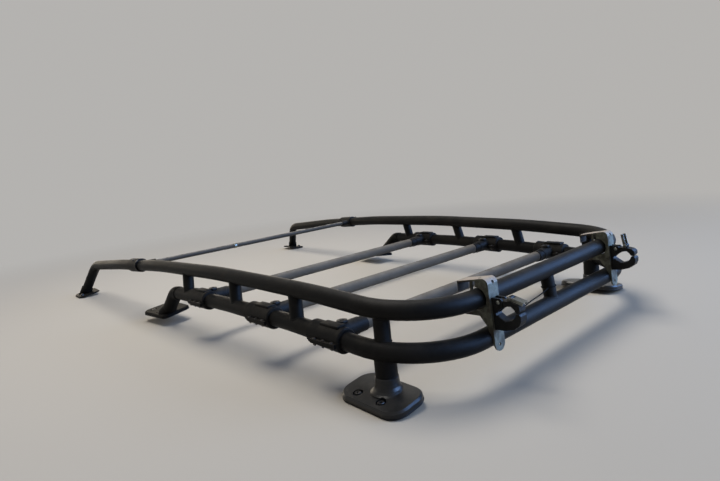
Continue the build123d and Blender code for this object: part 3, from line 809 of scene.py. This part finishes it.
def saddle(foot, way, radius, centre, along):
    """Points where a round post meets a round rail, each with the way its bead faces."""
    side = way.cross(along).normalized()
    over = way.cross(side)
    spots = []
    count = round(math.tau * radius / RIPPLE_STEP)
    for k in range(count):
        out = math.cos(math.tau * k / count) * side + math.sin(math.tau * k / count) * over
        start = foot + radius * out - centre
        flat = start - start.dot(along) * along
        slope = way - way.dot(along) * along
        half = flat.dot(slope)
        square = half * half - slope.length_squared * (flat.length_squared - RAIL_R ** 2)
        if square > 0:
            reach = (-half + math.sqrt(square)) / slope.length_squared
            place = foot + radius * out + reach * way
            rail_out = (flat + reach * slope).normalized()
            spots.append((tuple(place), tuple((out + rail_out).normalized())))
    return spots


beads = []
for _, hand in SIDES:
    flip = Matrix.Diagonal((hand, 1, 1))
    for high_y, low_y in SIDE_POSTS:
        low, low_run = on_rail(LOWER_RAIL, low_y)
        high, high_run = on_rail(UPPER_RAIL, high_y)
        low, high, low_run, high_run = flip @ low, flip @ high, flip @ low_run, flip @ high_run
        beads += saddle(low, (high - low).normalized(), POST_R, low, low_run)
        beads += saddle(high, (low - high).normalized(), POST_R, high, high_run)
    low, high = (flip @ Vector(end) for end in LEG_ENDS)
    low_run, high_run = ((flip @ Vector(run)).normalized() for run in LEG_RUNS)
    beads += saddle(low, (high - low).normalized(), LEG_R, low, low_run)
    beads += saddle(high, (low - high).normalized(), LEG_R, high, high_run)
low, high, radius = Vector(CENTRE_POST[0]), Vector(CENTRE_POST[1]), CENTRE_POST[2]
beads += saddle(low, (high - low).normalized(), radius, low, ACROSS)
beads += saddle(high, (low - high).normalized(), radius, high, ACROSS)
placed("weld_beads", turned(in_mm(RIPPLE), ring=8), beads, "rack", "rail_paint", seed=11,
       largest=RIPPLE_TURN)
print(len(beads), "weld ripples")

# %% [markdown]
# Each crossbar clamp is held by six small bolts through the lips under its shell, and closed by a
# lobed hand knob. The clamps slide, so everything on a clamp rides on that clamp's body.

# %% Clamp fittings
CLAMPS = [("front", -0.765), ("middle", -0.410), ("rear", -0.137)]
LIP_ALONG = (-0.020, 0.010, 0.040)
LIP_OUT = 0.0315
LIP_LOW = -0.0110
LIP_HIGH = -0.0010
LIP_BOLT = [(0, 0.0, 0), (4.8, 0.0, 0), (5.0, 0.3, 0), (4.8, 0.9, 0), (3.8, 0.9, 6), (3.8, 3.6, 6),
            (3.4, 4.0, 0), (2.0, 4.1, 0), (2.0, 5.6, 0), (1.6, 6.0, 0), (0, 6.0, 0)]
LIP_HEAD = [(0, 0.0, 0), (4.6, 0.0, 0), (4.6, 2.0, 0), (3.6, 3.2, 0), (0, 3.6, 0)]
PAD_SIZE = (0.062, 0.027, 0.0065)
PAD_ROUNDING = 0.002
PAD_ALONG = 0.012
PAD_SUNK = 0.001
SHELL_R = 0.0295
KNOB_IN = 0.038
KNOB_FOOT = 0.018
KNOB_ROWS = [(0, 0.0, 0), (12.6, 0.0, 0), (13.6, 0.7, 0), (13.9, 3.0, 0), (13.7, 6.6, 0), (12.8, 8.2, 0),
             (11.2, 8.9, 0), (7.6, 8.9, 0), (7.2, 8.5, 0), (0, 8.4, 0)]
CAP_ROWS = [(0, 8.0, 0), (6.7, 8.0, 0), (6.5, 8.9, 0), (5.0, 9.9, 0), (2.6, 10.5, 0), (0, 10.7, 0)]
KNOB_LOBES = 6
KNOB_RIPPLE = 0.045
KNOB_RING = 48

knob_cap = coated("knob_cap_plastic", {
    "Colour": (0.007, 0.007, 0.0078, 1), "Faded_Colour": (0.016, 0.016, 0.0175, 1),
    "Dust_Colour": (0.10, 0.097, 0.09, 1), "Fade": 0.6, "Dust": 0.12, "Patch_Scale": 60.0,
    "Roughness": 0.4}, grain_scale=1000.0, bite=0.2, shine=0.15)

for name, y in CLAMPS:
    for side, hand in SIDES:
        seat, run = on_rail(LOWER_RAIL, y)
        seat.x *= hand
        run.x *= hand
        level = Vector((run.x, run.y, 0)).normalized()
        outward = Vector((hand * level.y, -hand * level.x, 0))
        clamp = f"{name}_{side}"
        body = "clamp_" + clamp
        under = []
        above = []
        for along in LIP_ALONG:
            for out in (-LIP_OUT, LIP_OUT):
                spot = seat + along * level + out * outward
                under.append((tuple(spot + Vector((0, 0, LIP_LOW))), (0, 0, -1)))
                above.append((tuple(spot + Vector((0, 0, LIP_HIGH))), (0, 0, 1)))
        placed("lip_bolts_" + clamp, turned(in_mm(LIP_BOLT)), under, body, "lever_steel",
               BOLT_STEEL, seed=7)
        placed("lip_heads_" + clamp, turned(in_mm(LIP_HEAD), ring=16), above, body, "lever_steel",
               BOLT_STEEL, seed=9)
        flats = bmesh.new()
        turn = Matrix((level, level.cross(Vector((0, 0, -1))), (0, 0, 1))).transposed().to_4x4()
        middle = seat + PAD_ALONG * level + Vector((0, 0, SHELL_R - PAD_SUNK))
        soft_box(flats, PAD_SIZE, PAD_ROUNDING, Matrix.Translation(middle) @ turn)
        finished("shell_pad_" + clamp, as_mesh(flats, "shell_pad_" + clamp), body, "clamp_moulding")
        hub = Matrix.Translation((seat.x - hand * KNOB_IN, seat.y, seat.z + KNOB_FOOT))
        grip = turned(in_mm(KNOB_ROWS), lobes=KNOB_LOBES, ripple=KNOB_RIPPLE, ring=KNOB_RING)
        bmesh.ops.transform(grip, matrix=hub, verts=grip.verts)
        hand_knob = finished("hand_knob_" + clamp, as_mesh(grip, "hand_knob_" + clamp), body,
                             "knob_plastic")
        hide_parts(f"crossbar_{name}_knob_{side}")
        cap = turned(in_mm(CAP_ROWS))
        bmesh.ops.transform(cap, matrix=hub, verts=cap.verts)
        finished("knob_cap_" + clamp, as_mesh(cap, "knob_cap_" + clamp), body, "knob_plastic", knob_cap)
print("fittings on", 2 * len(CLAMPS), "clamps")

# %% [markdown]
# The tool clamps turn on pins with domed heads. Inside the jaws a smooth grey liner takes the wear; it
# is a strip that follows the jaw's inner line, so it mirrors the daylight where the jaw does not.

# %% Tool clamp fittings
CLAMP_X = 0.285
HINGE_PIN = (0.176, 0.180)
HINGE_HALF = 0.011
LEVER_PIN = (0.2005, 0.190)
LEVER_HALF = 0.0093
PIN_HEAD = [(0, 0.0, 0), (4.4, 0.0, 0), (4.4, 0.7, 0), (3.4, 1.7, 0), (1.6, 2.2, 0), (0, 2.3, 0)]
SMALL_HEAD = [(0, 0.0, 0), (3.6, 0.0, 0), (3.6, 0.6, 0), (2.6, 1.3, 0), (0, 1.7, 0)]
# Inner lines of the jaws: y, z in millimetres
LOWER_LINE = [(217.4, 160.0), (214.4, 152.6), (210.2, 148.0), (205.8, 144.4), (198.0, 141.8),
              (190.0, 139.9), (180.0, 145.6), (171.6, 151.2)]
UPPER_LINE = [(216.6, 164.6), (212.6, 170.6), (204.9, 176.5), (197.0, 175.4), (190.1, 174.1),
              (182.0, 167.6)]
LINER_THICK = 0.0016
LINER_HALF = 0.0096

liner_rubber = coated("liner_rubber", {
    "Colour": (0.016, 0.017, 0.019, 1), "Faded_Colour": (0.030, 0.031, 0.033, 1),
    "Dust_Colour": (0.13, 0.127, 0.12, 1), "Fade": 0.5, "Dust": 0.3, "Patch_Scale": 50.0,
    "Roughness": 0.40}, grain_scale=1100.0, bite=0.2, shine=0.12)


def liner(name, line, body, x):
    """A thin strip along a jaw's inner line."""
    strip = bmesh.new()
    points = [Vector((0, y * MM, z * MM)) for y, z in line]
    rings = []
    for before, here, after in zip(points[:1] + points, points, points[1:] + points[-1:]):
        ahead = (after - before).normalized()
        lift = LINER_THICK * Vector((0, -ahead.z, ahead.y))
        rings.append([strip.verts.new(here + Vector((x + across, 0, 0)) + rise)
                      for across, rise in ((-LINER_HALF, -lift), (LINER_HALF, -lift),
                                           (LINER_HALF, lift), (-LINER_HALF, lift))])
    for low, high in zip(rings, rings[1:]):
        for k in range(4):
            strip.faces.new((low[k], low[(k + 1) % 4], high[(k + 1) % 4], high[k]))
    strip.faces.new(rings[0])
    strip.faces.new(rings[-1][::-1])
    bmesh.ops.recalc_face_normals(strip, faces=strip.faces)
    finished(name, as_mesh(strip, name, sharp=50.0), body, "jaw_rubber", liner_rubber)


for side, hand in SIDES:
    x = hand * CLAMP_X
    jaw = f"jaw_{side}"
    for name, head, pin, half in (("hinge_pin_heads_", PIN_HEAD, HINGE_PIN, HINGE_HALF),
                                  ("lever_pin_heads_", SMALL_HEAD, LEVER_PIN, LEVER_HALF)):
        ends = [((x + way * half, *pin), (way, 0, 0)) for way in (-1, 1)]
        placed(name + side, turned(in_mm(head)), ends, jaw, "lever_steel")
    liner(f"lower_liner_{side}", LOWER_LINE, "rack", x)
    liner(f"upper_liner_{side}", UPPER_LINE, jaw, x)
print("pins and liners on both tool clamps")

# %% [markdown]
# The cord ends in a loop round the centre post, and its other end passes a small steel eye
# on the clamp. The front bar carries one bright band clip, and each of its rail clamps two bolts.

# %% Cord ends, band clip and front bolts
LOOP_CENTRE = Vector((0.018, 0.1344, 0.1416))
LOOP_R = 0.0173
LOOP_THICK_R = 0.0014
LOOP_LEAN = 0.12
LOOP_STEPS = 32
LOOP_SIDES = 8
EYE_AT = (0.2740, 0.1840, 0.1760)
EYE = [(1.6, 0.0, 0), (3.6, 0.0, 0), (4.0, 0.4, 0), (3.8, 1.2, 0), (2.2, 1.3, 0), (1.6, 0.8, 0),
       (1.6, 0.0, 0)]
BAND_X = 0.135
BAND = [(9.4, -6.0, 0), (10.9, -6.0, 0), (11.2, -5.4, 0), (11.2, 5.4, 0), (10.9, 6.0, 0), (9.4, 6.0, 0)]
FRONT_BAR = (-1.3076, 0.1916)
FRONT_CLAMP_AT = Vector((0.5509, -1.3076, 0.1916))
FRONT_BOLT_OUT = 0.016
FRONT_BOLT_UP = 0.0270 * 0.78
FRONT_BOLTS_ALONG = (-0.026, 0.026)
FRONT_BOLT_WAY = (0.55, 0.83)

loop = bmesh.new()
ring_points = [LOOP_CENTRE + LOOP_R * Vector((math.cos(a), math.sin(a), LOOP_LEAN * math.sin(a)))
               for a in (math.tau * k / LOOP_STEPS for k in range(LOOP_STEPS + 1))]
tube_along(loop, ring_points, LOOP_THICK_R, LOOP_SIDES)
finished("lanyard_loop", as_mesh(loop, "lanyard_loop"), "rack", "cord_black")
placed("lanyard_eye", turned(in_mm(EYE)), [(EYE_AT, (-1, 0, 0))], "rack", "lever_steel")
placed("band_clip", turned(in_mm(BAND)), [((BAND_X, *FRONT_BAR), (1, 0, 0))], "rack", "lever_steel")
front_bolts = []
for _, hand in SIDES:
    for along in FRONT_BOLTS_ALONG:
        spot = FRONT_CLAMP_AT + Vector((FRONT_BOLT_OUT, along, FRONT_BOLT_UP))
        front_bolts.append(((hand * spot.x, spot.y, spot.z),
                            (hand * FRONT_BOLT_WAY[0], 0, FRONT_BOLT_WAY[1])))
placed("front_clamp_bolts", turned(in_mm(LIP_HEAD)), front_bolts, "rack", "lever_steel",
       BOLT_STEEL, seed=13)
print("cord ends, band clip and", len(front_bolts), "front clamp bolts")

# %% [markdown]
# The floor is pale and plain. Near the rack it is a real surface that takes the shadow. Further out it
# turns into the backdrop's own tone, so no horizon line cuts through the picture. Rays that come by a
# mirror reflection or through glass see the same pale ground as the camera does. Only the even light
# that bounces up is weaker than the floor looks, which keeps the undersides of black tube dark.

# %% Floor
FLOOR_SIZE = 80.0
FLOOR_COLOUR = (0.50, 0.47, 0.42, 1)
FLOOR_BOUNCE = (0.20, 0.19, 0.175, 1)
BACKDROP = (0.458, 0.448, 0.434, 1)
FLOOR_ROUGHNESS = 0.8
FLOOR_SHINE = 0.1
FLOOR_DROP = 0.0005
FLOOR_MIDDLE_Y = -1.0
FADE_CENTRE = (0, -0.95, 0)
FADE_START = 1.1
FADE_END = 3.6


def background_rays(tree):
    """1 for rays that see the background: from the camera, by a reflection or through glass."""
    rays = tree.nodes.new("ShaderNodeLightPath").outputs
    looked = calc(tree, "MAXIMUM", rays["Is Camera Ray"], rays["Is Glossy Ray"])
    return calc(tree, "MAXIMUM", looked, rays["Is Transmission Ray"])


bpy.ops.mesh.primitive_plane_add(size=FLOOR_SIZE, location=(0, 0, 0))
floor = bpy.context.object
floor.name = "floor"
floor.data.transform(Matrix.Translation((0, FLOOR_MIDDLE_Y, CAD_BOX[0][2] - FLOOR_DROP)))
floor_paint, floor_tree, floor_shader = new_finish("floor_paint")
floor_shader.inputs["Roughness"].default_value = FLOOR_ROUGHNESS
floor_shader.inputs["Specular IOR Level"].default_value = FLOOR_SHINE
away = floor_tree.nodes.new("ShaderNodeVectorMath")
away.operation = "DISTANCE"
floor_tree.links.new(place_in_object(floor_tree), away.inputs[0])
away.inputs[1].default_value = FADE_CENTRE
looked_at = background_rays(floor_tree)
ground = mixed(floor_tree, looked_at, FLOOR_BOUNCE, FLOOR_COLOUR)
floor_tree.links.new(ground, floor_shader.inputs["Base Color"])
far_off = between(floor_tree, away.outputs["Value"], FADE_START, FADE_END)
far_off = calc(floor_tree, "MULTIPLY", far_off, looked_at)
haze = floor_tree.nodes.new("ShaderNodeEmission")
haze.inputs["Color"].default_value = BACKDROP
fading = floor_tree.nodes.new("ShaderNodeMixShader")
floor_tree.links.new(far_off, fading.inputs[0])
floor_tree.links.new(floor_shader.outputs[0], fading.inputs[1])
floor_tree.links.new(haze.outputs[0], fading.inputs[2])
floor_tree.links.new(fading.outputs[0], floor_tree.nodes["Material Output"].inputs["Surface"])
floor.data.materials.append(floor_paint)
print("floor", FLOOR_SIZE, "m across")

# %% [markdown]
# Black satin tube shows almost only what it reflects: the pale background all round, and one large
# blue card that stands for daylight. The card lights reflections alone, so it draws a cool band along
# the rear rails and leaves the floor grey. The even light comes from surroundings of three broad
# patches, which reflections don't see: dark, dim and warm ahead, and daylight behind on the right.
# A low warm strip far ahead, again for reflections alone, draws the pale line along the tops at the
# front. The top lamp brings out the dust, and it casts the soft shadow.

# %% Light
AROUND_STRENGTH = 2.6
AROUND_DARK = (0.045, 0.042, 0.038, 1)
AROUND_WARM = (0.200, 0.155, 0.090, 1)
AROUND_DAYLIGHT = (0.24, 0.36, 0.62, 1)
WARM_WAY = (0.0, -0.99, 0.12)
WARM_EDGES = (0.78, 0.99)
DAYLIGHT_WAY = (-0.61, 0.73, 0.30)
DAYLIGHT_EDGES = (0.50, 1.02)
# Lamps: name, place, aim, size, watts, colour, whether it lights diffuse surfaces too
LAMPS = [
    ("top_lamp", (0.2, -1.3, 3.4), (0, -0.9, 0.1), (2.6, 1.4), 105, (1.0, 0.96, 0.9), True),
    ("side_lamp", (-2.3, 2.9, 1.5), (0.1, 0.0, 0.15), (2.2, 1.4), 62, (0.64, 0.79, 1.0), True),
    ("daylight_card", (-2.9, 3.5, 2.2), (0.1, 0.0, 0.15), (6.4, 4.0), 720, (0.19, 0.43, 1.0), False),
    ("warm_strip", (-1.5, -6.5, 0.9), (-0.2, -1.2, 0.2), (7.0, 1.2), 100, (1.0, 0.86, 0.66), False),
]

world = bpy.data.worlds.new("surroundings")
world.use_nodes = True
sky = world.node_tree
looking = sky.nodes.new("ShaderNodeTexCoord")


def toward(way, edges):
    """1 where the sky lies in a direction, falling to 0 away from it."""
    along = sky.nodes.new("ShaderNodeVectorMath")
    along.operation = "DOT_PRODUCT"
    sky.links.new(looking.outputs["Generated"], along.inputs[0])
    along.inputs[1].default_value = way
    return between(sky, along.outputs["Value"], *edges)


around = mixed(sky, toward(WARM_WAY, WARM_EDGES), AROUND_DARK, AROUND_WARM)
around = mixed(sky, toward(DAYLIGHT_WAY, DAYLIGHT_EDGES), around, AROUND_DAYLIGHT)
soft = sky.nodes["Background"]
sky.links.new(around, soft.inputs["Color"])
soft.inputs["Strength"].default_value = AROUND_STRENGTH
seen = sky.nodes.new("ShaderNodeBackground")
seen.inputs["Color"].default_value = BACKDROP
choose = sky.nodes.new("ShaderNodeMixShader")
sky.links.new(background_rays(sky), choose.inputs[0])
sky.links.new(soft.outputs[0], choose.inputs[1])
sky.links.new(seen.outputs[0], choose.inputs[2])
sky.links.new(choose.outputs[0], sky.nodes["World Output"].inputs["Surface"])
bpy.context.scene.world = world

for name, place, aim, size, watts, colour, lights_diffuse in LAMPS:
    lamp = bpy.data.lights.new(name, "AREA")
    lamp.shape = "RECTANGLE"
    lamp.size, lamp.size_y = size
    lamp.energy = watts
    lamp.color = colour
    holder = bpy.data.objects.new(name, lamp)
    holder.location = place
    holder.rotation_euler = (Vector(aim) - Vector(place)).to_track_quat("-Z", "Y").to_euler()
    holder.visible_camera = False
    holder.visible_diffuse = lights_diffuse
    bpy.context.scene.collection.objects.link(holder)
print("surroundings and", len(LAMPS), "lamps set")
